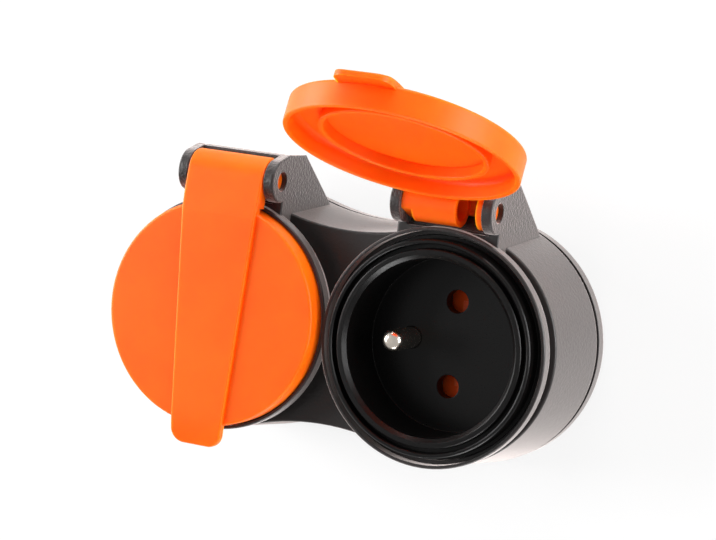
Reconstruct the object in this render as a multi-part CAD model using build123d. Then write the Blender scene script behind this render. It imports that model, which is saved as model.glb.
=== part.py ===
from build123d import *
import math
import os

# Twin outdoor socket block, lying on its back: +Z is the socket axis, +X runs along the two
# cups, +Y points to the hinges, and the origin is the middle of the flat back face.
# All sizes are in millimetres.

# Socket interface, earth-pin kind
pin_spacing = 19.0
pin_diameter = 4.8
pin_hole_clearance = 0.2
earth_offset = 10.0
earth_pin_height = 11.8
recess_diameter = 39.0
recess_depth = 14.6
floor_thickness = 3.0

# Heights, from the back face forward
cover_height = 4.6
cover_floor = 2.4
gasket_thickness = 1.8
housing_depth = 21.6
collar_height = 7.0
collar_band = 2.9
rim_projection = 2.1
skirt_dip = 1.2
groove_depth = 2.7
flange_thickness = 2.0
spigot_length = 3.4
seat_thickness = 2.3
ring_groove_depth = 2.4

# Radial build-up of the rim, from the recess outward
inner_ring = 2.15
ring_groove = 1.05
outer_ring = 1.0
rim_lead_in = 0.9
skirt_gap = 0.3
skirt_wall = 1.2
collar_wall = 0.8
collar_lap = 0.3
rim_chamfer = 0.25
cup_wall = 1.8
spigot_wall = 0.8
flange_reach = 0.8
fit_gap = 0.1

# Housing and cover
wall = 2.4
shoulder_inset = 0.1
draft_growth = 1.7
waist_dip = 4.2
neck_wall = 0.6
neck_taper = 0.6
face_edge_radius = 0.5
cover_inset = 0.1
cover_edge_radius = 2.0
lip_gap = 0.35
lip_wall = 1.4
lip_reach = 2.5
gasket_inset = 1.2

# Lid
lid_wall = 1.6
lid_rim_gap = 0.9
lid_edge_radius = 0.6
lid_inner_radius = 1.4
rib_gap = 1.3
rib_wall = 1.2
rib_recess = 1.7
soft_edge = 0.4
band_rise = 1.0
band_bite = 1.2
band_slope_start = 2.8
band_half_width = 9.3
tab_half_width = 6.05
tab_reach = 4.5
tab_thickness = 1.8
tab_drop = 0.85
tip_thickness = 1.2
tab_root = 2.4
tab_corner_radius = 3.2
open_angle = 112.0

# Hinge
hinge_drop = 0.8
barrel_radius = 4.2
barrel_gap = 0.5
wrap_wall = 0.8
arm_gap = 1.5
lobe_dip = 0.2
lobe_flat = 0.1
ear_cover = 0.9
ear_slope_back = 3.2
ear_thickness = 2.3
ear_gap = 0.3
trough_gap = 0.3
trough_mouth = 2.0
trough_floor_gap = 1.05
hinge_back_wall = 5.9
ear_front = 1.0
slope_foot = 6.3
hinge_root = 12.0
trunnion_radius = 2.15
trunnion_clearance = 0.07
trunnion_recess = 1.2
lug_wall = 1.3
flex_slot = 4.7
barrel_step = 2.4
barrel_step_height = 1.4
barrel_wall = 1.2
barrel_bore_depth = 7.0
stop_gap = 0.15
stop_width = 4.65
stop_clearance = 0.3

# Shutter, contacts and terminals
shutter_thickness = 2.4
shutter_gap = 0.1
shutter_travel = 5.8
shutter_link = 3.0
shutter_lap = 0.6
shutter_side_lap = 0.5
ramp_drop = 1.8
rail_wall = 1.2
spring_strip = 0.35
spring_height = 2.0
spring_room = 8.0
carrier_thickness = 2.0
carrier_gap = 0.4
pocket_wall = 1.15
pocket_open = 3.0
sleeve_wall = 0.95
sleeve_length = 8.6
sleeve_slot = 1.2
contact_gap = 0.05
strip_thickness = 0.8
strip_width = 6.0
strip_level = 6.5
terminal_size = 7.0
wire_radius = 1.7
earth_flange_radius = 3.8
earth_flange_thickness = 1.5
rivet_radius = 1.6
nose_radius = 1.9

# Screws
screw_radius = 1.5
screw_clearance = 0.05
screw_length = 14.0
shank_gap = 0.2
head_radius = 2.8
head_height = 1.8
head_gap = 0.3
seat_wall = 1.2
pillar_radius = 3.0
pillar_offset = 17.3
small_screw_radius = 1.2
small_head_radius = 2.2
small_head_height = 1.4
drive_width = 0.7
drive_length = 3.0
drive_depth = 0.9

# Cable inlet and cord clamp
grommet_wall = 1.1
spout_wall = 0.8
spout_reach = 3.0
spout_lift = 0.2
grommet_lip = 1.6
clamp_from_end = 5.0
clamp_width = 4.0
clamp_wall = 1.4
clamp_gap = 0.5
clamp_foot = 2.4
clamp_screw_length = 7.6

# Levels worked out from the sizes above
seam_level = cover_height + gasket_thickness
face_level = seam_level + housing_depth
collar_level = face_level + collar_height
rim_level = collar_level + rim_projection
floor_level = rim_level - recess_depth
floor_underside = floor_level - floor_thickness
skirt_level = collar_level - skirt_dip
flange_level = collar_level - groove_depth
ledge_level = flange_level - flange_thickness
spigot_level = ledge_level - spigot_length
lid_inner_level = rim_level + lid_rim_gap
lid_level = lid_inner_level + lid_wall
band_level = lid_level + band_rise
shutter_level = floor_underside - shutter_gap - shutter_thickness
carrier_level = shutter_level - shutter_gap
pillar_foot = head_height + head_gap + seat_thickness

# Radii and places worked out from the sizes above
recess_radius = recess_diameter / 2
inner_ring_radius = recess_radius + inner_ring
outer_ring_bore = inner_ring_radius + ring_groove
tube_radius = outer_ring_bore + outer_ring
skirt_bore = tube_radius + skirt_gap
lid_radius = skirt_bore + skirt_wall
collar_bore = lid_radius + skirt_gap
collar_radius = collar_bore + collar_wall
cup_spacing = 2 * (collar_radius - collar_lap)
cup_radius = recess_radius + cup_wall
spigot_radius = cup_radius + spigot_wall
flange_radius = tube_radius + flange_reach
neck_radius = flange_radius + fit_gap + neck_wall
shoulder_radius = collar_radius - shoulder_inset
seam_radius = shoulder_radius + draft_growth
cover_radius = seam_radius - cover_inset
lip_radius = seam_radius - wall - lip_gap
rib_radius = recess_radius - rib_gap
draft_angle = math.degrees(math.atan(draft_growth / housing_depth))
cup_places = {"left": -cup_spacing / 2, "right": cup_spacing / 2}
pin_hole_radius = pin_diameter / 2 + pin_hole_clearance
pin_row = pin_spacing / 2
hinge_y = collar_radius + barrel_gap + barrel_radius
hinge_level = collar_level - hinge_drop
wrap_radius = barrel_radius + wrap_wall
lobe_radius = wrap_radius - lobe_dip
ear_underside = lobe_radius - lobe_flat
ear_top = wrap_radius + ear_cover
ear_inner = band_half_width + ear_gap
ear_outer = ear_inner + ear_thickness
trough_back = -(wrap_radius + trough_gap)
ear_rear = trough_back - hinge_back_wall
trough_floor = -(barrel_radius + trough_floor_gap)
sleeve_radius = pin_diameter / 2 + contact_gap + sleeve_wall
strip_row = pin_row + sleeve_radius - strip_thickness / 2
shutter_half_length = pin_row + pin_hole_radius + shutter_side_lap
shutter_front = pin_hole_radius + shutter_lap
stop_rib = shutter_front + spring_room
carrier_screw_x = stop_rib + rail_wall + small_head_radius
carrier_screw_y = pin_row - small_head_radius
end_x = -cup_spacing / 2 - seam_radius
clamp_x = end_x + wall + clamp_from_end + clamp_width / 2
cable_room = floor_underside - clamp_gap - clamp_wall - fit_gap - seam_level - spout_lift
cable_radius = (cable_room - spout_wall - grommet_wall) / 2
grommet_radius = cable_radius + grommet_wall
spout_radius = grommet_radius + spout_wall
inlet_level = seam_level + spout_lift + spout_radius
grommet_length = spout_reach + 2 * wall
arm_under = collar_level - hinge_level + arm_gap
clamp_screw_offset = cable_radius + fit_gap + clamp_wall + small_head_radius
clamp_half_length = clamp_screw_offset + clamp_foot


def waisted_outline(radius):
    """Two circles joined by hollow waists, the plan of the housing at one level."""
    half = cup_spacing / 2
    waist = radius - waist_dip
    hollow = (half**2 + waist**2 - radius**2) / (2 * waist_dip)
    share = radius / (radius + hollow)
    tx = half * (1 - share)
    ty = (waist + hollow) * share
    edges = [
        ThreePointArc((tx, -ty), (half + radius, 0), (tx, ty)),
        ThreePointArc((tx, ty), (0, waist), (-tx, ty)),
        ThreePointArc((-tx, ty), (-half - radius, 0), (-tx, -ty)),
        ThreePointArc((-tx, -ty), (0, -waist), (tx, -ty)),
    ]
    return make_face(edges)


def tube(radius, bottom, top):
    """A round bar along Z between two levels."""
    return Pos(0, 0, bottom) * extrude(Circle(radius), top - bottom)


def bar(x0, x1, y0, y1, z0, z1):
    """A rectangular block between two corners."""
    return Pos(x0, y0, z0) * Box(x1 - x0, y1 - y0, z1 - z0, align=(Align.MIN, Align.MIN, Align.MIN))


def turned(points, eased=()):
    """A turned solid from (radius, level) points, with a small chamfer on the corners in eased."""
    outline = make_face(Polyline(*points, close=True))
    corners = [v for v in outline.vertices() if any(math.dist((v.X, v.Y), place) < 0.001 for place in eased)]
    if corners:
        outline = chamfer(corners, rim_chamfer)
    return revolve(Plane.XZ * outline, Axis.Z)


def across(profile, half_width):
    """A side profile in the YZ plane, drawn out to both sides along X."""
    return extrude(Plane.YZ * profile, half_width, both=True)


def cross_screw(radius, length, cap_radius, cap_height):
    """A screw along +Z with its head below the origin and a cross recess in the head."""
    screw = tube(radius, 0, length) + tube(cap_radius, -cap_height, 0)
    slot = Box(drive_length, drive_width, 2 * drive_depth)
    return screw - Pos(0, 0, -cap_height) * (slot + Rot(0, 0, 90) * slot)


def collar():
    """Ring that stands on the waist face: a hollow neck, then the outer band that overhangs it."""
    band_foot = collar_level - collar_band
    return turned([
        (0, face_level - face_edge_radius),
        (neck_radius - neck_taper, face_level - face_edge_radius),
        (neck_radius - neck_taper, face_level),
        (neck_radius, ledge_level),
        (neck_radius, band_foot),
        (collar_radius, band_foot),
        (collar_radius, collar_level),
        (0, collar_level),
    ], eased=[(collar_radius, collar_level)])


def ear_profile():
    """Side view of the hinge housing: round lobe in front, sloping top, and a back down to the seam."""
    under_w = math.sqrt(lobe_radius**2 - ear_underside**2)
    seam_w = seam_level - hinge_level
    corner = (ear_top, -ear_slope_back)
    touch = math.acos(lobe_radius / math.hypot(*corner)) - math.atan2(ear_slope_back, ear_top)
    lobe_start = (lobe_radius * math.cos(touch), lobe_radius * math.sin(touch))
    edges = [
        ThreePointArc(lobe_start, (0, lobe_radius), (-ear_underside, under_w)),
        Polyline((-ear_underside, under_w), (-ear_underside, -ear_front), (-hinge_root, -ear_front),
                 (-hinge_root, seam_w), (-slope_foot, seam_w), (ear_top, ear_rear), corner, lobe_start),
    ]
    return make_face(edges)


def hinge_housing():
    """Two ears with pin holes, the wall behind the barrel and the stop for the open lid."""
    block = across(ear_profile(), ear_outer)
    seam_w = seam_level - hinge_level
    rims = [e for e in block.edges() if abs(e.center().X) > ear_inner and e.center().Z > seam_w + soft_edge]
    block = fillet(rims, soft_edge)
    reach = 4 * lobe_radius
    trough = across(Circle(-trough_back), ear_inner)
    trough += bar(-ear_inner, ear_inner, trough_floor, reach, -trough_mouth, reach)
    stop_height = wrap_radius * math.sin(math.radians(90 + open_angle)) - stop_gap
    stop_face = -(barrel_radius + stop_clearance)
    stop = bar(-stop_width, 0, trough_floor, stop_height, trough_back, stop_face)
    hole = across(Circle(trunnion_radius + trunnion_clearance), ear_outer + wall)
    return block - (trough - stop) - hole


def hinge_core():
    """Hollow inside the hinge housing, open to the inside of the shell."""
    inset = offset(ear_profile(), -wall)
    core = across(inset, ear_outer - wall)
    reach = 4 * lobe_radius
    roof = trough_back - wall
    return core - bar(-reach, reach, -reach, reach, roof, reach)


def front_housing():
    """Moulded shell: drafted figure-eight walls, two collars and two hinge housings."""
    shell = Pos(0, 0, seam_level) * extrude(waisted_outline(seam_radius), housing_depth, taper=draft_angle)
    shell = fillet(shell.edges().group_by(Axis.Z)[-1], face_edge_radius)
    cavity = Pos(0, 0, seam_level) * extrude(
        waisted_outline(seam_radius - wall), housing_depth - wall, taper=draft_angle)
    for x in cup_places.values():
        shell += Pos(x, 0, 0) * collar()
        shell += Pos(x, hinge_y, hinge_level) * hinge_housing()
    spout_x = end_x - spout_reach
    spout = Pos(spout_x, 0, inlet_level) * Rot(0, 90, 0) * tube(spout_radius, 0, grommet_length)
    shell = shell + spout - cavity
    for x in cup_places.values():
        shell -= Pos(x, 0, 0) * tube(spigot_radius + fit_gap, seam_level, ledge_level)
        shell -= Pos(x, 0, 0) * tube(flange_radius + fit_gap, ledge_level, flange_level)
        shell -= Pos(x, 0, 0) * tube(collar_bore, flange_level, collar_level)
        shell -= Pos(x, hinge_y, hinge_level) * hinge_core()
    inlet = tube(grommet_radius + fit_gap / 2, 0, 2 * grommet_length)
    return shell - Pos(spout_x, 0, inlet_level) * Rot(0, 90, 0) * inlet


def back_cover():
    """Tray that closes the back, with a locating lip, screw seats and the cord cradle."""
    tray = extrude(waisted_outline(cover_radius), cover_height)
    tray = fillet(tray.edges().group_by(Axis.Z)[0], cover_edge_radius)
    tray += extrude(waisted_outline(lip_radius), seam_level + lip_reach)
    hollow = waisted_outline(lip_radius - lip_wall)
    tray -= Pos(0, 0, cover_floor) * extrude(hollow, seam_level + lip_reach)
    notch = spout_radius + lip_gap
    tray -= bar(end_x, clamp_x - clamp_width, -notch, notch, cover_height, face_level)
    for x, y in cover_screw_places():
        seat = tube(head_radius + head_gap + seat_wall, 0, pillar_foot)
        head_room = tube(head_radius + head_gap, 0, head_height + head_gap)
        shank_room = tube(screw_radius + shank_gap, 0, pillar_foot)
        tray += Pos(x, y, 0) * seat
        tray -= Pos(x, y, 0) * (head_room + shank_room)
    cradle = bar(-clamp_width / 2, clamp_width / 2, -clamp_half_length, clamp_half_length,
                 cover_floor, inlet_level - fit_gap)
    trough = Pos(0, 0, inlet_level) * Rot(0, 90, 0) * tube(cable_radius + fit_gap, -wall, wall)
    cradle -= trough
    for y in (-clamp_screw_offset, clamp_screw_offset):
        cradle -= Pos(0, y, 0) * tube(small_screw_radius + screw_clearance, cover_floor, inlet_level)
    return tray + Pos(clamp_x, 0, 0) * cradle


def cover_screw_places():
    """Two screws under each cup, on the line of its pin holes."""
    return [(x, side * pillar_offset) for x in cup_places.values() for side in (-1, 1)]


def cover_gasket():
    """Thin rubber ring in the seam, a little inside the outer walls."""
    ring = waisted_outline(cover_radius - gasket_inset) - waisted_outline(lip_radius + fit_gap)
    return Pos(0, 0, cover_height) * extrude(ring, gasket_thickness)


def cover_screws():
    """Four screws, heads sunk into the cover, shanks in the pillars of the inserts."""
    head_seat = head_height + head_gap
    screw = cross_screw(screw_radius, screw_length, head_radius, head_height)
    return [Pos(x, y, head_seat) * screw for x, y in cover_screw_places()]


def socket_insert():
    """Cup with the ringed rim, pin holes, screw pillars and the shutter's rails below the floor."""
    groove_level = rim_level - ring_groove_depth
    cup = turned([
        (0, floor_level),
        (recess_radius, floor_level),
        (recess_radius, rim_level - rim_lead_in),
        (recess_radius + rim_lead_in, rim_level),
        (inner_ring_radius, rim_level),
        (inner_ring_radius, groove_level),
        (outer_ring_bore, groove_level),
        (outer_ring_bore, rim_level),
        (tube_radius, rim_level),
        (tube_radius, flange_level),
        (flange_radius, flange_level),
        (flange_radius, ledge_level),
        (spigot_radius, ledge_level),
        (spigot_radius, spigot_level),
        (cup_radius, spigot_level),
        (cup_radius, floor_underside),
        (0, floor_underside),
    ], eased=[(radius, rim_level) for radius in (inner_ring_radius, outer_ring_bore, tube_radius)])
    rail_y = shutter_half_length + fit_gap
    rail_end = shutter_front + shutter_travel + rail_wall
    for side in (-1, 1):
        cup += Pos(0, side * pillar_offset, 0) * tube(pillar_radius, pillar_foot, floor_underside)
        rail = bar(-shutter_front, rail_end, rail_y, rail_y + rail_wall, carrier_level, floor_underside)
        cup += rail if side > 0 else mirror(rail, Plane.XZ)
        post = tube(small_head_radius, carrier_level, floor_underside)
        cup += Pos(carrier_screw_x, side * carrier_screw_y, 0) * post
    cup += bar(stop_rib, stop_rib + rail_wall, -carrier_screw_y, carrier_screw_y,
               shutter_level, floor_underside)
    for side in (-1, 1):
        pilot = tube(screw_radius + screw_clearance, pillar_foot, floor_underside)
        cup -= Pos(0, side * pillar_offset, 0) * pilot
        cup -= Pos(0, side * pin_row, 0) * tube(pin_hole_radius, carrier_level, floor_level)
        small_pilot = tube(small_screw_radius + screw_clearance, carrier_level, floor_underside)
        cup -= Pos(carrier_screw_x, side * carrier_screw_y, 0) * small_pilot
    return cup - Pos(-earth_offset, 0, 0) * tube(pin_diameter / 2 + contact_gap, carrier_level, floor_level)


def lid_cap():
    """Hollow round cap: skirt that dips into the rim groove, and a rib inside the recess mouth."""
    rib_level = skirt_level + rib_recess
    outline = make_face(Polyline(
        (0, lid_level),
        (lid_radius, lid_level),
        (lid_radius, skirt_level),
        (skirt_bore, skirt_level),
        (skirt_bore, lid_inner_level),
        (rib_radius, lid_inner_level),
        (rib_radius, rib_level),
        (rib_radius - rib_wall, rib_level),
        (rib_radius - rib_wall, lid_inner_level),
        (0, lid_inner_level),
        close=True,
    ))
    corners = outline.vertices()
    outline = fillet(corners.filter_by(lambda v: v.X > skirt_bore + soft_edge and v.Y > lid_inner_level),
                     lid_edge_radius)
    corners = outline.vertices()
    inside = [v for v in corners if math.dist((v.X, v.Y), (skirt_bore, lid_inner_level)) < 0.001]
    outline = fillet(inside, lid_inner_radius)
    corners = outline.vertices()
    outline = fillet(corners.filter_by(lambda v: v.Y < rib_level + soft_edge and v.X > 0), soft_edge)
    return revolve(Plane.XZ * outline, Axis.Z)


def arm_profile():
    """Side view of the band: lifting tab, flat run over the cap, and the wrap round the barrel."""
    top = band_level - hinge_level
    inside = lid_level - band_bite - hinge_level
    slope_u = lid_radius - band_slope_start - hinge_y
    distance = math.hypot(slope_u, top)
    tangent = math.atan2(slope_u, top) + math.acos(wrap_radius / distance)
    middle = (tangent + math.pi / 2) / 2
    core_u = -math.sqrt(barrel_radius**2 - arm_under**2)
    cap_u = lid_radius - skirt_wall / 2 - hinge_y
    rim_u = -lid_radius - hinge_y
    tip_u = rim_u - tab_reach
    under = top - tab_thickness
    tip_top = top - tab_drop
    bend_u = rim_u + tab_root
    bend_radius = ((bend_u - tip_u)**2 + tab_drop**2) / (2 * tab_drop)
    bend_half = math.asin((bend_u - tip_u) / bend_radius) / 2
    return make_face([
        Line((slope_u, top), (wrap_radius * math.sin(tangent), wrap_radius * math.cos(tangent))),
        ThreePointArc(
            (wrap_radius * math.sin(tangent), wrap_radius * math.cos(tangent)),
            (wrap_radius * math.sin(middle), wrap_radius * math.cos(middle)),
            (wrap_radius, 0)),
        Line((wrap_radius, 0), (barrel_radius, 0)),
        ThreePointArc((barrel_radius, 0), (0, -barrel_radius), (core_u, arm_under)),
        Polyline(
            (core_u, arm_under), (cap_u, arm_under), (cap_u, inside),
            (bend_u, inside), (rim_u, under), (tip_u, tip_top - tip_thickness), (tip_u, tip_top)),
        ThreePointArc(
            (tip_u, tip_top),
            (bend_u - bend_radius * math.sin(bend_half), top - bend_radius * (1 - math.cos(bend_half))),
            (bend_u, top)),
        Line((bend_u, top), (slope_u, top)),
    ])


def band():
    """Tapered band over the cap: its side view crossed with its plan."""
    tip_y = -lid_radius - tab_reach
    back_y = hinge_y + wrap_radius + fit_gap
    plan = make_face(Polyline(
        (-tab_half_width, tip_y), (tab_half_width, tip_y), (band_half_width, hinge_y - wrap_radius),
        (band_half_width, back_y), (-band_half_width, back_y),
        (-band_half_width, hinge_y - wrap_radius), close=True))
    plan = fillet(plan.vertices().group_by(Axis.Y)[0], tab_corner_radius)
    side = Pos(0, hinge_y, hinge_level) * across(arm_profile(), 2 * band_half_width)
    strap = side & extrude(plan, 2 * band_level)
    skin = strap.faces().filter_by(lambda face: face.normal_at().Z > 0.5)
    skin_edges = [edge for face in skin for edge in face.edges()]
    flank_edges = [edge for edge in skin_edges if abs(edge.center().X) > soft_edge]
    tip_edge = min(skin_edges, key=lambda edge: edge.center().Y)
    return fillet(flank_edges + [tip_edge], soft_edge)


def lid():
    """Closed lid at the origin of its cup: cap, band, barrel with a snap lug, and trunnions."""
    body = lid_cap() + band()
    lug_face = band_half_width - lug_wall
    slot_from = lug_face - flex_slot
    slot = Pos(slot_from, 0, 0) * Rot(0, 90, 0) * tube(barrel_radius, 0, flex_slot)
    slot += bar(slot_from, lug_face, lid_radius + skirt_gap - hinge_y, 0, -barrel_radius, arm_under)
    step_floor = -barrel_radius + barrel_step_height
    step = bar(-band_half_width, barrel_step - band_half_width, -2 * barrel_radius, 2 * barrel_radius,
               -2 * barrel_radius, step_floor)
    bore = Pos(slot_from - barrel_bore_depth, 0, 0) * Rot(0, 90, 0) * tube(
        barrel_radius - barrel_wall, 0, barrel_bore_depth)
    axis_place = Pos(0, hinge_y, hinge_level)
    body -= axis_place * (slot + step + bore)
    reach = ear_outer - trunnion_recess
    pins = Rot(0, 90, 0) * tube(trunnion_radius, lug_face, reach)
    pins += Rot(0, 90, 0) * tube(trunnion_radius, -reach, barrel_step - band_half_width)
    return body + axis_place * pins


def shutter():
    """Child shutter: two ramped blocks under the pin holes, joined by a link."""
    ramp = make_face(Polyline(
        (-shutter_front, shutter_level), (shutter_front, shutter_level),
        (shutter_front, shutter_level + shutter_thickness),
        (shutter_front - shutter_link / 2, shutter_level + shutter_thickness),
        (-shutter_front, shutter_level + shutter_thickness - ramp_drop), close=True))
    block_inner = 2 * pin_row - shutter_half_length
    block = extrude(Plane.XZ * ramp, -(shutter_half_length - block_inner))
    block = Pos(0, block_inner, 0) * block
    link = bar(shutter_front - shutter_link, shutter_front, -pin_row, pin_row,
               shutter_level, shutter_level + shutter_thickness)
    return block + mirror(block, Plane.XZ) + link


def shutter_spring():
    """Bent leaf between the shutter's link and the stop rib."""
    near = shutter_front + contact_gap
    far = stop_rib - contact_gap
    spread = carrier_screw_y - 2 * spring_strip
    bow = make_face(Polyline(
        (near, -spring_strip), (near, spring_strip), (far - spring_strip, spread), (far, spread),
        (far, spread - spring_strip), (near + 2 * spring_strip, 0), (far, spring_strip - spread),
        (far, -spread), (far - spring_strip, -spread), close=True))
    return Pos(0, 0, shutter_level + fit_gap) * extrude(bow, spring_height)


def contact_carrier():
    """Plate under the shutter, with two pockets that hold the contact sleeves."""
    top = carrier_level
    bottom = top - carrier_thickness
    half = pillar_offset - pillar_radius - carrier_gap
    pocket_radius = sleeve_radius + contact_gap
    pocket_foot = bottom - sleeve_length + pocket_open
    carrier = bar(-shutter_front - rail_wall, carrier_screw_x + small_head_radius, -half, half, bottom, top)
    for side in (-1, 1):
        carrier += Pos(0, side * pin_row, 0) * tube(pocket_radius + pocket_wall, pocket_foot, bottom)
    strip_top = strip_level + strip_width + fit_gap
    strip_side = strip_row - strip_thickness / 2 - fit_gap
    for side in (-1, 1):
        carrier -= Pos(0, side * pin_row, 0) * tube(pocket_radius, pocket_foot, bottom)
        carrier -= Pos(0, side * pin_row, 0) * tube(pin_hole_radius + fit_gap, bottom, top)
        room = bar(-2 * sleeve_radius, 2 * sleeve_radius, strip_side, half + pocket_wall, 0, strip_top)
        carrier -= room if side > 0 else mirror(room, Plane.XZ)
        hole = tube(small_screw_radius + screw_clearance, bottom, top)
        carrier -= Pos(carrier_screw_x, side * carrier_screw_y, 0) * hole
    return carrier


def carrier_screws():
    """Small screws from behind, two to each carrier."""
    bottom = carrier_level - carrier_thickness
    length = carrier_thickness + shutter_thickness
    screw = cross_screw(small_screw_radius, length, small_head_radius, small_head_height)
    return [
        Pos(x + carrier_screw_x, side * carrier_screw_y, bottom) * screw
        for x in cup_places.values() for side in (-1, 1)
    ]


def pillar_terminal(y0, y1):
    """Block with a wire hole along X and a screw hole from behind."""
    half = terminal_size / 2
    block = bar(-half, half, y0, y1, strip_level, strip_level + terminal_size)
    middle = (y0 + y1) / 2
    wire_level = strip_level + terminal_size - wire_radius - strip_thickness
    wire = Pos(0, middle, wire_level) * Rot(0, 90, 0) * tube(wire_radius, -terminal_size, terminal_size)
    return block - wire - Pos(0, middle, 0) * tube(screw_radius + screw_clearance, strip_level, wire_level)


def live_busbar():
    """Brass strip with a slotted sleeve under each cup and a pillar terminal in the waist."""
    strip_end = cup_spacing / 2 + sleeve_radius
    inner_face = strip_row - strip_thickness / 2
    outer_face = strip_row + strip_thickness / 2
    sleeve_top = carrier_level - carrier_thickness - contact_gap
    sleeve_foot = sleeve_top - sleeve_length
    busbar = bar(-strip_end, strip_end, inner_face, outer_face, strip_level, strip_level + strip_width)
    for x in cup_places.values():
        busbar += Pos(x, pin_row, 0) * tube(sleeve_radius, sleeve_foot, sleeve_top)
    for x in cup_places.values():
        busbar -= Pos(x, pin_row, 0) * tube(sleeve_radius - sleeve_wall, sleeve_foot, sleeve_top)
        slit = bar(-sleeve_slot / 2, sleeve_slot / 2, pin_row - 2 * sleeve_radius, pin_row, 0, sleeve_top)
        busbar -= Pos(x, 0, 0) * slit
    return busbar + pillar_terminal(outer_face - terminal_size, outer_face)


def earth_busbar():
    """Brass strip between the two earth pins, with its pillar terminal in the waist."""
    first = cup_places["left"] - earth_offset - strip_width / 2
    last = cup_places["right"] - earth_offset + strip_width / 2
    half = strip_width / 2
    busbar = bar(first, last, -half, half, strip_level, strip_level + strip_thickness)
    for x in cup_places.values():
        hole = tube(rivet_radius, strip_level, strip_level + strip_thickness)
        busbar -= Pos(x - earth_offset, 0, 0) * hole
    busbar += pillar_terminal(-terminal_size / 2, terminal_size / 2)
    return busbar - tube(screw_radius + screw_clearance, strip_level, strip_level + strip_thickness)


def terminal_screws():
    """One screw for each pillar terminal, driven from behind."""
    live_y = strip_row + strip_thickness / 2 - terminal_size / 2
    length = terminal_size - 2 * wire_radius - strip_thickness
    screw = cross_screw(screw_radius, length, head_radius, head_height)
    return [Pos(0, y, strip_level) * screw for y in (-live_y, 0, live_y)]


def earth_pin():
    """Turned pin with a round nose, a flange under the cup's floor and a riveted foot."""
    radius = pin_diameter / 2
    tip = floor_level + earth_pin_height
    strip_top = strip_level + strip_thickness
    flange_foot = floor_underside - earth_flange_thickness
    pin = turned([
        (0, strip_level), (rivet_radius, strip_level), (rivet_radius, strip_top), (radius, strip_top),
        (radius, flange_foot), (earth_flange_radius, flange_foot),
        (earth_flange_radius, floor_underside), (radius, floor_underside), (radius, tip), (0, tip)])
    nose = pin.edges().filter_by(GeomType.CIRCLE).group_by(Axis.Z)[-1]
    return Pos(-earth_offset, 0, 0) * fillet(nose, nose_radius)


def cable_grommet():
    """Rubber bush in the inlet spout, with a round lip outside."""
    bush = tube(grommet_radius, 0, grommet_length) + tube(spout_radius, -grommet_lip, 0)
    rim = bush.edges().filter_by(GeomType.CIRCLE).group_by(Axis.Z)[0]
    bush = fillet(rim, soft_edge) - tube(cable_radius, -grommet_lip, grommet_length)
    return Pos(end_x - spout_reach, 0, inlet_level) * Rot(0, 90, 0) * bush


def cord_clamp():
    """Arched strap over the cord, with a foot on each side of the cradle."""
    inner = cable_radius + fit_gap
    outer = inner + clamp_wall
    arch = Circle(outer) + Pos(0, clamp_wall / 2) * Rectangle(2 * clamp_half_length, clamp_wall)
    arch -= Circle(inner)
    arch -= Pos(0, -outer) * Rectangle(4 * outer, 2 * outer)
    strap = Pos(clamp_x, 0, inlet_level) * across(arch, clamp_width / 2)
    for y in (-clamp_screw_offset, clamp_screw_offset):
        strap -= Pos(clamp_x, y, 0) * tube(small_screw_radius + screw_clearance, inlet_level, rim_level)
    return strap


def clamp_screws():
    """Two screws that pull the strap down on the cradle."""
    screw = cross_screw(small_screw_radius, clamp_screw_length, small_head_radius, small_head_height)
    seat = inlet_level + clamp_wall
    return [
        Pos(clamp_x, y, seat) * Rot(180, 0, 0) * screw
        for y in (-clamp_screw_offset, clamp_screw_offset)
    ]


os.makedirs("parts", exist_ok=True)
pieces = {
    "front_housing": front_housing(),
    "back_cover": back_cover(),
    "cover_gasket": cover_gasket(),
    "cover_screws": Compound(cover_screws()),
    "carrier_screws": Compound(carrier_screws()),
    "line_busbar": live_busbar(),
    "neutral_busbar": mirror(live_busbar(), Plane.XZ),
    "earth_busbar": earth_busbar(),
    "terminal_screws": Compound(terminal_screws()),
    "cable_grommet": cable_grommet(),
    "cord_clamp": cord_clamp(),
    "clamp_screws": Compound(clamp_screws()),
}
repeated = {
    "socket_insert": socket_insert(),
    "shutter": shutter(),
    "shutter_spring": shutter_spring(),
    "contact_carrier": contact_carrier(),
    "earth_pin": earth_pin(),
}
for side, x in cup_places.items():
    for name, shape in repeated.items():
        pieces[f"{side}_{name}"] = Pos(x, 0, 0) * shape

# The left lid is shut, the right one stands open against its stop.
closed_lid = lid()
opened = Pos(0, hinge_y, hinge_level) * Rot(-open_angle, 0, 0) * Pos(0, -hinge_y, -hinge_level)
pieces["left_lid"] = Pos(cup_places["left"], 0, 0) * closed_lid
pieces["right_lid"] = Pos(cup_places["right"], 0, 0) * opened * closed_lid

for name, shape in pieces.items():
    export_step(shape, f"parts/{name}.step")
print("hinge axis at y", round(hinge_y, 3), "z", round(hinge_level, 3))
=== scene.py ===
import math
import bpy
from mathutils import Matrix, Vector


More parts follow.
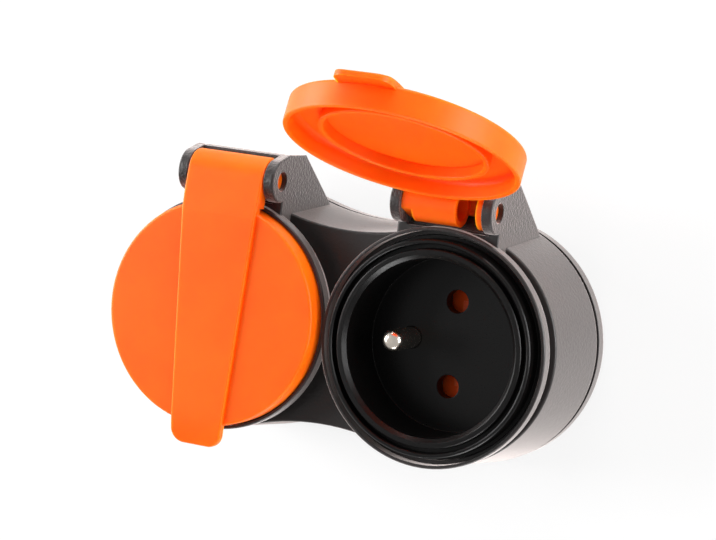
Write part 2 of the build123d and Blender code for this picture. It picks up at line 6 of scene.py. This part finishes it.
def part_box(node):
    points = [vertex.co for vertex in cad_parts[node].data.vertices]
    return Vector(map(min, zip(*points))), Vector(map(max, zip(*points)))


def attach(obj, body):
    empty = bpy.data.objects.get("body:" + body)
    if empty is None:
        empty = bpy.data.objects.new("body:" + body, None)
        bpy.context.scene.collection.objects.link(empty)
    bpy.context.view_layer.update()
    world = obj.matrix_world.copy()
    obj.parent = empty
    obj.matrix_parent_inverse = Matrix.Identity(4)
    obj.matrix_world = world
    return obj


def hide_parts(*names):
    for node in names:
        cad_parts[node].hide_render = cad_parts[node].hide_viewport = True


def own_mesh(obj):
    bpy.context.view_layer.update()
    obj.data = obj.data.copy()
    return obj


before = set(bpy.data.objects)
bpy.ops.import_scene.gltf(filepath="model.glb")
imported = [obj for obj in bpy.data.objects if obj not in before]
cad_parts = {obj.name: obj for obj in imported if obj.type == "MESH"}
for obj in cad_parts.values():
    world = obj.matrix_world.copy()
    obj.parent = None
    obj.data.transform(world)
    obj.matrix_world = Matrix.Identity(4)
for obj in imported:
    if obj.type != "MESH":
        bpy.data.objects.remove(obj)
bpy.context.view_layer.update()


# Busbars and earth strip
# Three strips of half-hard brass, stamped and folded, with slotted sleeves that grip the plug's
# pins and a pillar terminal in the waist. Rolling leaves long, faint lines in the sheet.
mm = 0.001


def linear(code):
    """An sRGB hex colour as linear RGBA."""
    channels = [int(code[i:i + 2], 16) / 255 for i in (1, 3, 5)]
    return [c / 12.92 if c <= 0.04045 else ((c + 0.055) / 1.055) ** 2.4 for c in channels] + [1.0]


def add_node(tree, kind, inputs=None, **settings):
    """Adds one node, gives it its settings, and fills its inputs with values or links."""
    node = tree.nodes.new(kind)
    for name, value in settings.items():
        setattr(node, name, value)
    for socket, value in (inputs or {}).items():
        if isinstance(value, bpy.types.NodeSocket):
            tree.links.new(value, node.inputs[socket])
        else:
            node.inputs[socket].default_value = value
    return node


def new_material(name, **sockets):
    """A material with one Principled shader whose uniform values sit on its own sockets."""
    material = bpy.data.materials.new(name)
    material.use_nodes = True
    tree = material.node_tree
    shader = tree.nodes["Principled BSDF"]
    for socket, value in sockets.items():
        shader.inputs[socket.replace("_", " ")].default_value = value
    return material, tree, shader


def give_finish(piece, material):
    """Gives a piece of the frame its one finish."""
    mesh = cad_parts[piece].data
    mesh.materials.clear()
    mesh.materials.append(material)


def stamped_brass():
    """Stamped brass: a warm metal, streaked by rolling lines that are drawn coarse, to show."""
    line_length, line_gap = 25 * mm, 0.4 * mm
    material, tree, shader = new_material("stamped brass", Metallic=1.0)
    place = add_node(tree, "ShaderNodeTexCoord")
    lines = add_node(tree, "ShaderNodeMapping", {
        "Vector": place.outputs["Object"], "Scale": (1 / line_length, 1 / line_gap, 1 / line_gap)})
    rolled = add_node(tree, "ShaderNodeTexNoise", {
        "Vector": lines.outputs["Vector"], "Scale": 1.0, "Detail": 2.0})
    tint = add_node(tree, "ShaderNodeValToRGB", {"Fac": rolled.outputs["Fac"]})
    tint.color_ramp.elements[0].color = linear("#b88a3e")
    tint.color_ramp.elements[1].color = linear("#dcb868")
    rough = add_node(tree, "ShaderNodeMapRange", {
        "Value": rolled.outputs["Fac"], "To Min": 0.24, "To Max": 0.4})
    tree.links.new(tint.outputs["Color"], shader.inputs["Base Color"])
    tree.links.new(rough.outputs["Result"], shader.inputs["Roughness"])
    return material


brass = stamped_brass()
for strip in ("line_busbar", "neutral_busbar", "earth_busbar"):
    give_finish(strip, brass)


# Contact carriers and cord clamp
# Plates of grey glass-filled nylon that hold the sleeves in pockets, and the strap over the cord.
# They are moulded and screwed down; the glass takes the gloss off their skin.
def glass_filled_nylon():
    """Glass-filled nylon: matt grey with short pale flecks where the glass lies at the skin."""
    fleck = 0.5 * mm
    material, tree, shader = new_material("glass-filled nylon", IOR=1.53, Roughness=0.55)
    place = add_node(tree, "ShaderNodeTexCoord")
    flecks = add_node(tree, "ShaderNodeTexNoise", {
        "Vector": place.outputs["Object"], "Scale": 1 / fleck, "Detail": 3.0})
    tint = add_node(tree, "ShaderNodeValToRGB", {"Fac": flecks.outputs["Fac"]})
    tint.color_ramp.elements[0].position = 0.35
    tint.color_ramp.elements[0].color = linear("#8d8d8a")
    tint.color_ramp.elements[1].position = 0.7
    tint.color_ramp.elements[1].color = linear("#b0b0ab")
    relief = add_node(tree, "ShaderNodeBump", {
        "Height": flecks.outputs["Fac"], "Strength": 0.15, "Distance": 0.05 * mm})
    tree.links.new(tint.outputs["Color"], shader.inputs["Base Color"])
    tree.links.new(relief.outputs["Normal"], shader.inputs["Normal"])
    return material


nylon = glass_filled_nylon()
for plate in ("left_contact_carrier", "right_contact_carrier", "cord_clamp"):
    give_finish(plate, nylon)


# Earth pins
# Turned brass pins with a round nose, nickel-plated, riveted to the earth strip and standing in
# the cups. The plating is bright, and the turning shows through it.
def nickel_plate():
    """Bright nickel: a warm white metal with faint turning lines round the pin."""
    line_length, line_gap = 15 * mm, 0.15 * mm
    material, tree, shader = new_material(
        "nickel plate", Metallic=1.0, Base_Color=linear("#f6ebde"))
    place = add_node(tree, "ShaderNodeTexCoord")
    turned = add_node(tree, "ShaderNodeMapping", {
        "Vector": place.outputs["Object"],
        "Scale": (1 / line_length, 1 / line_length, 1 / line_gap)})
    lines = add_node(tree, "ShaderNodeTexNoise", {
        "Vector": turned.outputs["Vector"], "Scale": 1.0, "Detail": 1.0})
    rough = add_node(tree, "ShaderNodeMapRange", {
        "Value": lines.outputs["Fac"], "To Min": 0.2, "To Max": 0.26})
    tree.links.new(rough.outputs["Result"], shader.inputs["Roughness"])
    return material


nickel = nickel_plate()
for side in ("left", "right"):
    give_finish(f"{side}_earth_pin", nickel)


# Shutters and their springs
# Child shutters moulded in orange polypropylene, with a ramp under each pin hole, and a bent leaf
# of spring steel behind each one, which folds up as its shutter slides.
def orange_polypropylene(name, body, shade, gloss):
    """Orange polypropylene: a waxy moulded skin that lets light in, with a fine satin grain and a
    slow drift of colour. The grain is drawn a little coarser than a real one."""
    drift_size, grain_size = 16 * mm, 0.3 * mm
    material, tree, shader = new_material(
        name, IOR=1.49, Specular_IOR_Level=0.2, Subsurface_Weight=0.6, Subsurface_Scale=5 * mm,
        Subsurface_Radius=(1.0, 0.7, 0.2))
    place = add_node(tree, "ShaderNodeTexCoord")
    drift = add_node(tree, "ShaderNodeTexNoise", {
        "Vector": place.outputs["Object"], "Scale": 1 / drift_size, "Detail": 2.0})
    tint = add_node(tree, "ShaderNodeValToRGB", {"Fac": drift.outputs["Fac"]})
    tint.color_ramp.elements[0].position = 0.3
    tint.color_ramp.elements[0].color = linear(shade)
    tint.color_ramp.elements[1].position = 0.7
    tint.color_ramp.elements[1].color = linear(body)
    grain = add_node(tree, "ShaderNodeTexNoise", {
        "Vector": place.outputs["Object"], "Scale": 1 / grain_size, "Detail": 2.0})
    relief = add_node(tree, "ShaderNodeBump", {
        "Height": grain.outputs["Fac"], "Strength": 0.08, "Distance": 0.03 * mm})
    rough = add_node(tree, "ShaderNodeMapRange", {
        "Value": grain.outputs["Fac"], "To Min": gloss - 0.04, "To Max": gloss + 0.06})
    tree.links.new(tint.outputs["Color"], shader.inputs["Base Color"])
    tree.links.new(rough.outputs["Result"], shader.inputs["Roughness"])
    tree.links.new(relief.outputs["Normal"], shader.inputs["Normal"])
    return material


def spring_steel():
    """Tempered spring steel: a grey-blue metal, clouded by the drawing of the strip."""
    cloud_size = 0.55 * mm
    material, tree, shader = new_material(
        "tempered spring steel", Metallic=1.0, Base_Color=linear("#9fa3a8"))
    place = add_node(tree, "ShaderNodeTexCoord")
    drawn = add_node(tree, "ShaderNodeTexNoise", {
        "Vector": place.outputs["Object"], "Scale": 1 / cloud_size, "Detail": 2.0})
    rough = add_node(tree, "ShaderNodeMapRange", {
        "Value": drawn.outputs["Fac"], "To Min": 0.25, "To Max": 0.4})
    tree.links.new(rough.outputs["Result"], shader.inputs["Roughness"])
    return material


def plain_mesh(holder, name):
    """Turns an object with a modifier into a plain mesh object, and removes the first one."""
    depsgraph = bpy.context.evaluated_depsgraph_get()
    mesh = bpy.data.meshes.new_from_object(holder.evaluated_get(depsgraph), depsgraph=depsgraph)
    bpy.data.objects.remove(holder)
    piece = bpy.data.objects.new(name, mesh)
    bpy.context.scene.collection.objects.link(piece)
    return piece


def bent_leaf(name, low, high, thickness, bend_reach):
    """A strip of spring steel on edge, folded in a vee that fills the box from low to high."""
    half = thickness / 2
    middle, level = (low.y + high.y) / 2, (low.z + high.z) / 2
    nose = Vector((low.x + half, middle))
    spread = (high.y - low.y) / 2 - half
    tips = [Vector((high.x - half, middle + hand * spread)) for hand in (1, -1)]
    bends = [nose + (tip - nose).normalized() * bend_reach for tip in tips]
    bow = bpy.data.curves.new(name, "CURVE")
    bow.dimensions = "2D"
    bow.fill_mode = "NONE"
    bow.extrude = (high.z - low.z) / 2
    spline = bow.splines.new("BEZIER")
    path = (tips[0], bends[0], bends[1], tips[1])
    spline.bezier_points.add(len(path) - 1)
    for bezier, place in zip(spline.bezier_points, path):
        bezier.co = (place.x, place.y, level)
        bezier.handle_left_type = bezier.handle_right_type = "VECTOR"
    first, second = spline.bezier_points[1], spline.bezier_points[2]
    first.handle_right_type = second.handle_left_type = "FREE"
    first.handle_right = second.handle_left = (nose.x - half, middle, level)
    holder = bpy.data.objects.new(name, bow)
    bpy.context.scene.collection.objects.link(holder)
    wall = holder.modifiers.new("strip", "SOLIDIFY")
    wall.thickness = thickness
    wall.offset = 0
    return plain_mesh(holder, name)


shutter_orange = orange_polypropylene(
    "red-orange polypropylene", body="#f4561e", shade="#ea4d19", gloss=0.42)
leaf_steel = spring_steel()
for side in ("left", "right"):
    give_finish(f"{side}_shutter", shutter_orange)
    low, high = (Vector(corner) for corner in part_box(f"{side}_shutter_spring"))
    leaf = bent_leaf(f"{side}_leaf_spring", low, high, thickness=0.35 * mm, bend_reach=1.2 * mm)
    leaf.data.materials.append(leaf_steel)
    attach(leaf, "housing")
    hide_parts(f"{side}_shutter_spring")
    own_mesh(leaf)


# Socket inserts
# Black cups of heat-resistant nylon with the ringed rim, dropped in from the front and screwed
# from behind. A polished tool makes them darker and smoother than the housing.
def black_moulding(name, colour, grain, depth, rough, specular, sheen):
    """Black moulded plastic: the grain of the tool gives the skin its soft grey sheen, and edges
    that no tool leaves quite sharp catch a thin line of light."""
    edge_radius = 0.3 * mm
    ears_begin, ears_full = 24 * mm, 28 * mm
    body_share, ear_share = 0.25, 1.0
    material, tree, shader = new_material(
        name, IOR=1.5, Base_Color=linear(colour), Specular_IOR_Level=specular,
        Sheen_Weight=sheen, Sheen_Roughness=0.4, Sheen_Tint=linear("#fff3ef"))
    place = add_node(tree, "ShaderNodeTexCoord")
    eroded = add_node(tree, "ShaderNodeTexNoise", {
        "Vector": place.outputs["Object"], "Scale": 1 / grain, "Detail": 3.0, "Roughness": 0.6})
    along = add_node(tree, "ShaderNodeSeparateXYZ", {"Vector": place.outputs["Object"]})
    stipple = add_node(tree, "ShaderNodeMapRange", {
        "Value": along.outputs["Y"], "From Min": ears_begin, "From Max": ears_full,
        "To Min": body_share, "To Max": ear_share})
    edges = add_node(tree, "ShaderNodeBevel", {"Radius": edge_radius}, samples=6)
    relief = add_node(tree, "ShaderNodeBump", {
        "Height": eroded.outputs["Fac"], "Strength": stipple.outputs["Result"],
        "Distance": depth, "Normal": edges.outputs["Normal"]})
    dulled = add_node(tree, "ShaderNodeMapRange", {
        "Value": eroded.outputs["Fac"], "From Min": 0.3, "From Max": 0.7,
        "To Min": rough - 0.06, "To Max": rough + 0.06})
    tree.links.new(dulled.outputs["Result"], shader.inputs["Roughness"])
    tree.links.new(relief.outputs["Normal"], shader.inputs["Normal"])
    return material


insert_black = black_moulding(
    "polished black nylon", "#040303", grain=0.3 * mm, depth=0.01 * mm,
    rough=0.32, specular=0.27, sheen=0.0)
for side in ("left", "right"):
    give_finish(f"{side}_socket_insert", insert_black)


# Housing and back cover
# One shell of black polypropylene with collars and hinge ears, and the tray that closes its back.
# Both are moulded with a spark-eroded grain, which turns pale where light grazes it. It is drawn
# coarser than a real one of about 0.2 mm, so that it shows, and strongest on the hinge ears.
housing_black = black_moulding(
    "spark-eroded black polypropylene", "#0e0808", grain=0.7 * mm, depth=0.22 * mm,
    rough=0.36, specular=0.48, sheen=1.0)
for shell in ("front_housing", "back_cover"):
    give_finish(shell, housing_black)


# Seam gasket and cable grommet
# A thin ring of black rubber pressed in the seam, and the bush in the inlet at the left end.
# Rubber is duller than the plastic round it, with a dusty bloom.
def black_rubber():
    """Vulcanised rubber: dull black with a faint, uneven bloom a few millimetres across."""
    bloom_size = 3 * mm
    material, tree, shader = new_material("black rubber", IOR=1.52, Roughness=0.75)
    place = add_node(tree, "ShaderNodeTexCoord")
    bloom = add_node(tree, "ShaderNodeTexNoise", {
        "Vector": place.outputs["Object"], "Scale": 1 / bloom_size, "Detail": 4.0})
    tint = add_node(tree, "ShaderNodeValToRGB", {"Fac": bloom.outputs["Fac"]})
    tint.color_ramp.elements[0].color = linear("#0e0d0d")
    tint.color_ramp.elements[1].color = linear("#1f1d1c")
    tree.links.new(tint.outputs["Color"], shader.inputs["Base Color"])
    return material


rubber = black_rubber()
for seal in ("cover_gasket", "cable_grommet"):
    give_finish(seal, rubber)


# Screws
# Zinc-plated steel screws with a pan head and a cross recess: four from the back, two in each
# carrier, three in the terminals and two in the cord clamp. The threads are rolled.
def zinc_plate():
    """Blue zinc plating: a pale grey metal with a soft, cloudy spangle."""
    spangle = 1 * mm
    material, tree, shader = new_material("zinc plate", Metallic=1.0)
    place = add_node(tree, "ShaderNodeTexCoord")
    cloud = add_node(tree, "ShaderNodeTexNoise", {
        "Vector": place.outputs["Object"], "Scale": 1 / spangle, "Detail": 3.0})
    tint = add_node(tree, "ShaderNodeValToRGB", {"Fac": cloud.outputs["Fac"]})
    tint.color_ramp.elements[0].color = linear("#a3a6ab")
    tint.color_ramp.elements[1].color = linear("#d3d5d8")
    rough = add_node(tree, "ShaderNodeMapRange", {
        "Value": cloud.outputs["Fac"], "To Min": 0.22, "To Max": 0.42})
    tree.links.new(tint.outputs["Color"], shader.inputs["Base Color"])
    tree.links.new(rough.outputs["Result"], shader.inputs["Roughness"])
    return material


def screw_tree(finish):
    """Geometry Nodes tree: at every point, a tapered head with a cross recess and a threaded shank.
    The seat of the head is at the point, the head below it and the shank above it."""
    head_sides, shank_sides, turn_steps, flank_corners = 40, 24, 20, 4
    crown_share, root_share, flank_share = 0.8, 0.84, 0.15
    # The wings of the recess reach as far out of the head as into it, and one is a little
    # shallower, so that their floors don't lie in one plane.
    wing_depths = (2.0, 1.9)
    tree = bpy.data.node_groups.new("cross-recess screw", "GeometryNodeTree")
    tree.interface.new_socket("Places", in_out="INPUT", socket_type="NodeSocketGeometry")
    for name in ("Shank Radius", "Shank Length", "Head Radius", "Head Height", "Pitch",
                 "Recess Length", "Recess Width", "Recess Depth", "Turn"):
        tree.interface.new_socket(name, in_out="INPUT", socket_type="NodeSocketFloat")
    tree.interface.new_socket("Screws", in_out="OUTPUT", socket_type="NodeSocketGeometry")
    given = add_node(tree, "NodeGroupInput").outputs

    drop = add_node(tree, "ShaderNodeMath", {0: given["Head Height"], 1: -1.0},
                    operation="MULTIPLY")
    sunk = add_node(tree, "ShaderNodeCombineXYZ", {"Z": drop.outputs[0]})
    crown = add_node(tree, "ShaderNodeMath", {0: given["Head Radius"], 1: crown_share},
                     operation="MULTIPLY")
    cone = add_node(tree, "GeometryNodeMeshCone", {
        "Vertices": head_sides, "Radius Top": given["Head Radius"],
        "Radius Bottom": crown.outputs[0], "Depth": given["Head Height"]})
    head = add_node(tree, "GeometryNodeTransform", {
        "Geometry": cone.outputs["Mesh"], "Translation": sunk.outputs[0]})
    driven = add_node(tree, "GeometryNodeMeshBoolean", {"Mesh 1": head.outputs[0]},
                      operation="DIFFERENCE")
    for long_way, short_way, depth_share in zip("XY", "YX", wing_depths):
        depth = add_node(tree, "ShaderNodeMath", {0: given["Recess Depth"], 1: depth_share},
                         operation="MULTIPLY")
        size = add_node(tree, "ShaderNodeCombineXYZ", {
            long_way: given["Recess Length"], short_way: given["Recess Width"],
            "Z": depth.outputs[0]})
        cube = add_node(tree, "GeometryNodeMeshCube", {"Size": size.outputs[0]})
        wing = add_node(tree, "GeometryNodeTransform", {
            "Geometry": cube.outputs["Mesh"], "Translation": sunk.outputs[0]})
        tree.links.new(wing.outputs[0], driven.inputs["Mesh 2"])

    root = add_node(tree, "ShaderNodeMath", {0: given["Shank Radius"], 1: root_share},
                    operation="MULTIPLY")
    rod = add_node(tree, "GeometryNodeMeshCylinder", {
        "Vertices": shank_sides, "Radius": root.outputs[0], "Depth": given["Shank Length"]})
    half_length = add_node(tree, "ShaderNodeMath", {0: given["Shank Length"], 1: 0.5},
                           operation="MULTIPLY")
    raised = add_node(tree, "ShaderNodeCombineXYZ", {"Z": half_length.outputs[0]})
    core = add_node(tree, "GeometryNodeTransform", {
        "Geometry": rod.outputs["Mesh"], "Translation": raised.outputs[0]})
    turns = add_node(tree, "ShaderNodeMath", {0: given["Shank Length"], 1: given["Pitch"]},
                     operation="DIVIDE")
    helix = add_node(tree, "GeometryNodeCurveSpiral", {
        "Resolution": turn_steps, "Rotations": turns.outputs[0], "Start Radius": root.outputs[0],
        "End Radius": root.outputs[0], "Height": given["Shank Length"]})
    flank_radius = add_node(tree, "ShaderNodeMath", {0: given["Shank Radius"], 1: flank_share},
                            operation="MULTIPLY")
    flank = add_node(tree, "GeometryNodeCurvePrimitiveCircle", {
        "Resolution": flank_corners, "Radius": flank_radius.outputs[0]})
    thread = add_node(tree, "GeometryNodeCurveToMesh", {
        "Curve": helix.outputs["Curve"], "Profile Curve": flank.outputs["Curve"],
        "Fill Caps": True})

    screw = add_node(tree, "GeometryNodeJoinGeometry")
    for piece in (driven.outputs["Mesh"], core.outputs[0], thread.outputs["Mesh"]):
        tree.links.new(piece, screw.inputs["Geometry"])
    facing = add_node(tree, "ShaderNodeCombineXYZ", {"X": given["Turn"]})
    placed = add_node(tree, "GeometryNodeInstanceOnPoints", {
        "Points": given["Places"], "Instance": screw.outputs[0], "Rotation": facing.outputs[0]})
    real = add_node(tree, "GeometryNodeRealizeInstances", {"Geometry": placed.outputs["Instances"]})
    plated = add_node(tree, "GeometryNodeSetMaterial", {
        "Geometry": real.outputs[0], "Material": finish})
    add_node(tree, "NodeGroupOutput", {"Screws": plated.outputs[0]})
    return tree


def drive_screws(group, tree, places, **sizes):
    """Stands one screw at every place, as one plain mesh that takes the node's part."""
    points = bpy.data.meshes.new(group)
    points.from_pydata(places, [], [])
    holder = bpy.data.objects.new(group, points)
    bpy.context.scene.collection.objects.link(holder)
    made = holder.modifiers.new("screws", "NODES")
    made.node_group = tree
    for socket in tree.interface.items_tree:
        size = sizes.get(socket.name.replace(" ", "_").lower())
        if size is not None:
            made[socket.identifier] = size
    screws = plain_mesh(holder, f"threaded_{group}")
    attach(screws, "housing")
    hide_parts(group)


zinc_screws = screw_tree(zinc_plate())
large = dict(shank_radius=1.5 * mm, head_radius=2.8 * mm, head_height=1.8 * mm, pitch=1.1 * mm)
small = dict(shank_radius=1.2 * mm, head_radius=2.2 * mm, head_height=1.4 * mm, pitch=0.9 * mm)
cross = dict(recess_length=3.0 * mm, recess_width=0.7 * mm, recess_depth=0.9 * mm)
upwards, downwards = 0.0, math.pi

# Cover and carrier screws stand in the four corners of their box, driven upwards.
for group, kind in (("cover_screws", large), ("carrier_screws", small)):
    low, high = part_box(group)
    inset = kind["head_radius"]
    seat = low[2] + kind["head_height"]
    corners = [(x, y, seat) for x in (low[0] + inset, high[0] - inset)
               for y in (low[1] + inset, high[1] - inset)]
    drive_screws(group, zinc_screws, corners, shank_length=high[2] - seat, turn=upwards,
                 **kind, **cross)

# Terminal screws stand in a row across the waist, driven upwards.
low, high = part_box("terminal_screws")
seat = low[2] + large["head_height"]
rows = (low[1] + large["head_radius"], 0.0, high[1] - large["head_radius"])
drive_screws("terminal_screws", zinc_screws, [(0.0, y, seat) for y in rows],
             shank_length=high[2] - seat, turn=upwards, **large, **cross)

# Clamp screws stand on both sides of the cord's way, driven downwards.
low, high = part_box("clamp_screws")
seat = high[2] - small["head_height"]
rows = (low[1] + small["head_radius"], high[1] - small["head_radius"])
drive_screws("clamp_screws", zinc_screws, [((low[0] + high[0]) / 2, y, seat) for y in rows],
             shank_length=seat - low[2], turn=downwards, **small, **cross)


# Lids
# Two orange polypropylene caps, each moulded in one piece with its band, lifting tab, barrel and
# trunnions, which snap into the hinge ears. The left one is shut, the right one stands open.
lid_orange = orange_polypropylene(
    "bright orange polypropylene", body="#ff6402", shade="#fb5c00", gloss=0.42)
for side in ("left", "right"):
    give_finish(f"{side}_lid", lid_orange)


# Floor
# A wide sheet of white background paper under the part. It looks plain white to the camera and in
# reflections, and keeps a share of the soft shadow that falls on it.
def pale_paper():
    """Background paper: white and dull, without a texture that the eye would find."""
    white_share = 0.8
    material, tree, shader = new_material(
        "white background paper", Roughness=0.9, Base_Color=linear("#f4f4f4"))
    ray = add_node(tree, "ShaderNodeLightPath")
    seen = add_node(tree, "ShaderNodeMath", {
        0: ray.outputs["Is Camera Ray"], 1: ray.outputs["Is Glossy Ray"]}, operation="MAXIMUM")
    passed = add_node(tree, "ShaderNodeMath", {
        0: seen.outputs[0], 1: ray.outputs["Is Transmission Ray"]}, operation="MAXIMUM")
    share = add_node(tree, "ShaderNodeMath", {0: passed.outputs[0], 1: white_share},
                     operation="MULTIPLY")
    glow = add_node(tree, "ShaderNodeEmission", {"Color": linear("#ffffff"), "Strength": 1.0})
    blend = add_node(tree, "ShaderNodeMixShader", {
        0: share.outputs[0], 1: shader.outputs["BSDF"], 2: glow.outputs["Emission"]})
    tree.links.new(blend.outputs["Shader"], tree.nodes["Material Output"].inputs["Surface"])
    return material


floor_half = 3.0
floor_level = -0.2 * mm
floor_mesh = bpy.data.meshes.new("floor")
floor_mesh.from_pydata([(x * floor_half, y * floor_half, floor_level)
                        for x, y in ((-1, -1), (1, -1), (1, 1), (-1, 1))], [], [(0, 1, 2, 3)])
floor = bpy.data.objects.new("floor", floor_mesh)
bpy.context.scene.collection.objects.link(floor)
floor_mesh.materials.append(pale_paper())


# Light and camera
# Five soft boxes in an even pale room: a broad one at each side and behind, a small one high on
# the left and a weak fill in front. The camera stands to the right of the sockets' axis, a little
# above it, and is rolled as the photograph is.
lamp_aim = Vector((0, 0, 20 * mm))


def soft_box(name, place, size, watts):
    """A square area lamp that faces the part."""
    lamp = bpy.data.lights.new(name, "AREA")
    lamp.size = size
    lamp.energy = watts
    holder = bpy.data.objects.new(name, lamp)
    holder.location = place
    holder.rotation_euler = (lamp_aim - Vector(place)).to_track_quat("-Z", "Y").to_euler()
    bpy.context.scene.collection.objects.link(holder)


soft_box("upper box", (-0.55, 0.05, 0.42), size=0.3, watts=3.5)
soft_box("left box", (-0.95, 0.2, 0.08), size=0.6, watts=13.0)
soft_box("right box", (0.95, 0.2, 0.08), size=0.6, watts=17.5)
soft_box("back box", (0.0, 0.85, 0.1), size=0.5, watts=8.0)
soft_box("front fill", (0.2, -0.9, 0.12), size=0.4, watts=5.5)

world = bpy.data.worlds.new("studio")
world.use_nodes = True
background = world.node_tree.nodes["Background"]
background.inputs["Color"].default_value = linear("#ffffff")
background.inputs["Strength"].default_value = 0.45
bpy.context.scene.world = world

turn, tilt, roll = math.radians(23.984), math.radians(5.767), math.radians(-6.452)
offset = Vector((-8.664, -13.298, -570.363)) * mm
rim_level = 37.1 * mm
photo_width = 716
focal_pixels = 2600
sensor_mm = 36
look = (Matrix.Rotation(roll, 3, "Z") @ Matrix.Rotation(tilt, 3, "X")
        @ Matrix.Rotation(-turn, 3, "Y")).transposed()
camera = bpy.data.cameras.new("camera")
camera.sensor_width = sensor_mm
camera.lens = focal_pixels / photo_width * sensor_mm
viewer = bpy.data.objects.new("camera", camera)
stand = Vector((0, 0, rim_level)) - look @ offset
viewer.matrix_world = Matrix.Translation(stand) @ look.to_4x4()
bpy.context.scene.collection.objects.link(viewer)
bpy.context.scene.camera = viewer
bpy.context.scene.view_settings.view_transform = "Standard"
